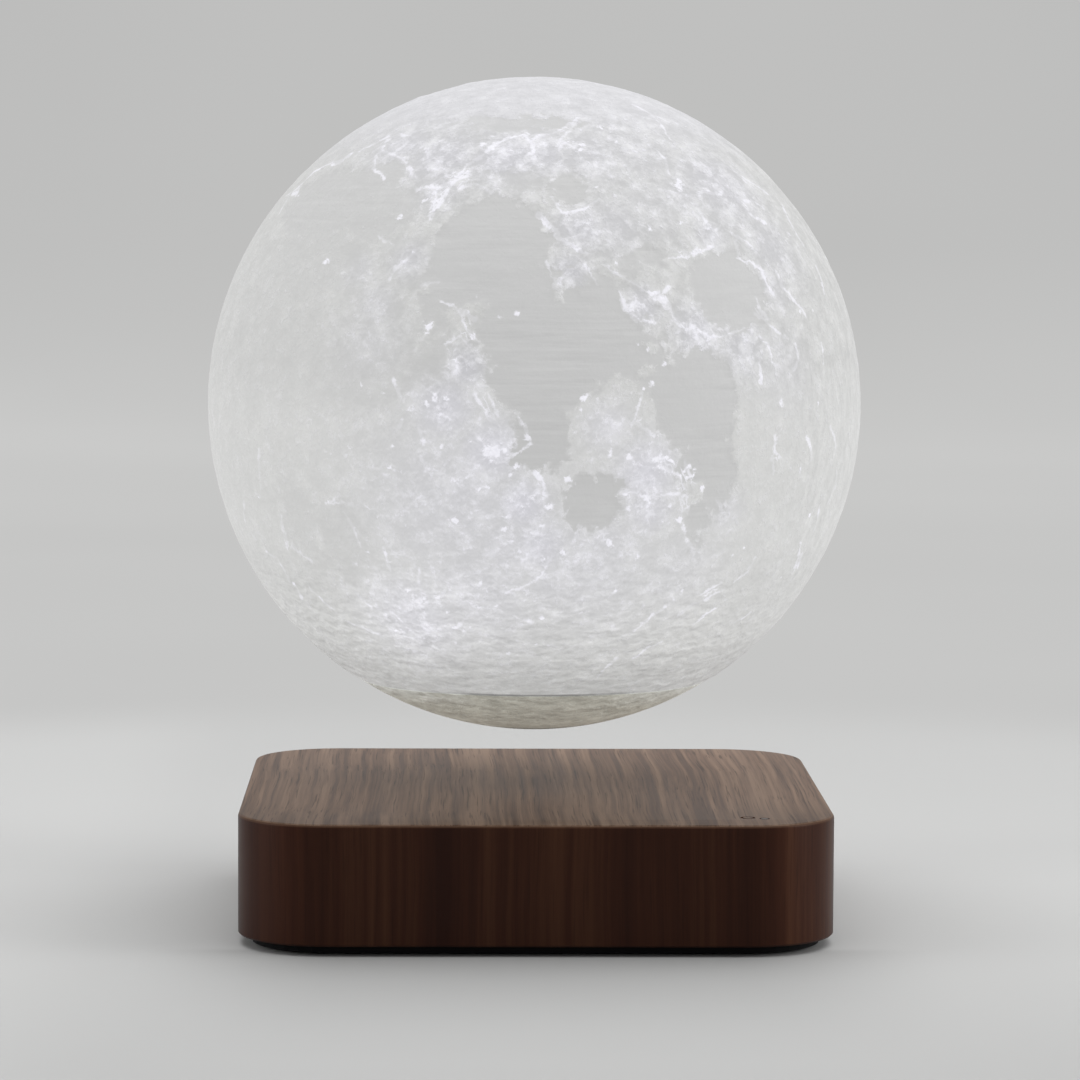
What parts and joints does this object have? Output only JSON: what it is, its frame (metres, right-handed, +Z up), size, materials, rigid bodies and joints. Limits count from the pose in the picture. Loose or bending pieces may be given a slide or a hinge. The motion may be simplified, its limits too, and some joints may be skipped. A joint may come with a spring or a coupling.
{
  "type": "levitating moon lamp",
  "caption": "Lit moon globe that floats over a low square walnut base; base holds the magnet and coils that lift, steer and power it, globe holds magnet, coil and light.",
  "frame": {"origin": "on the surface that the base stands on, under the middle of the base and of the globe", "axes": "+Z up through the base and the globe, +X to the right and -Y towards the viewer, where the touch mark and the near side of the globe face; the power socket is on +Y"},
  "size_m": [0.1413, 0.1413, 0.1818],
  "materials": {
    "walnut": "satin oiled, open grain",
    "plinth_plastic": "fine moulded texture",
    "rubber": "matte",
    "steel": "zinc plated",
    "circuit_board": "solder mask",
    "tray_plastic": "moulded",
    "magnet_plating": "nickel plated",
    "ferrite": "ground",
    "copper": "enamelled wire",
    "bobbin_plastic": "moulded nylon",
    "chip_resin": "matte resin",
    "clear_plastic": "clear",
    "aluminium": "bare",
    "moon_plastic": "printed in fine layers, lit from inside",
    "cap_plastic": "printed in fine layers, unlit",
    "carrier_plastic": "moulded",
    "light_resin": "glossy resin"
  },
  "bodies": {
    "base": {"wood_case": "walnut", "bottom_plate": "plinth_plastic", "plate_screw_1": "steel", "plate_screw_2": "steel", "plate_screw_3": "steel", "plate_screw_4": "steel", "rubber_foot_1": "rubber", "rubber_foot_2": "rubber", "rubber_foot_3": "rubber", "rubber_foot_4": "rubber", "main_board": "circuit_board", "module_tray": "tray_plastic", "module_screw_1": "steel", "module_screw_2": "steel", "module_screw_3": "steel", "module_screw_4": "steel", "yoke_plate": "steel", "ring_magnet": "ferrite", "power_coil": "copper", "coil_bobbin_1": "bobbin_plastic", "coil_bobbin_2": "bobbin_plastic", "coil_bobbin_3": "bobbin_plastic", "coil_bobbin_4": "bobbin_plastic", "coil_winding_1": "copper", "coil_winding_2": "copper", "coil_winding_3": "copper", "coil_winding_4": "copper", "coil_core_1": "steel", "coil_core_2": "steel", "coil_core_3": "steel", "coil_core_4": "steel", "sensor_board": "circuit_board", "position_sensor": "chip_resin", "touch_pad": "copper", "touch_board": "circuit_board", "touch_chip": "chip_resin", "touch_ribbon": "bobbin_plastic", "key_light": "light_resin", "light_pipe": "clear_plastic", "power_jack": "plinth_plastic", "jack_pin": "steel", "control_chip": "chip_resin", "drive_transistor_1": "chip_resin", "drive_transistor_2": "chip_resin", "power_inductor": "ferrite", "smoothing_capacitor": "aluminium"},
    "magnet": {"disc_magnet": "magnet_plating"},
    "moon": {"moon_shell": "moon_plastic", "bottom_cap": "cap_plastic", "receiver_coil": "copper", "carrier_disc": "carrier_plastic", "carrier_screw_1": "steel", "carrier_screw_2": "steel", "carrier_screw_3": "steel", "receiver_board": "circuit_board", "rectifier_chip": "chip_resin", "light_post": "aluminium", "light_board": "aluminium", "light_dome": "light_resin"}
  },
  "joints": [
    {"name": "moon_lift", "type": "slide", "parent": "base", "child": "magnet", "axis": [0, 0, 1], "range_m": [-0.012, 0.03], "stiffness_N_per_m": 100, "springref_m": 0.0246},
    {"name": "moon_spin", "type": "hinge", "parent": "magnet", "child": "moon", "pos_m": [0, 0, 0.111], "axis": [0, 0, 1], "continuous": true}
  ]
}
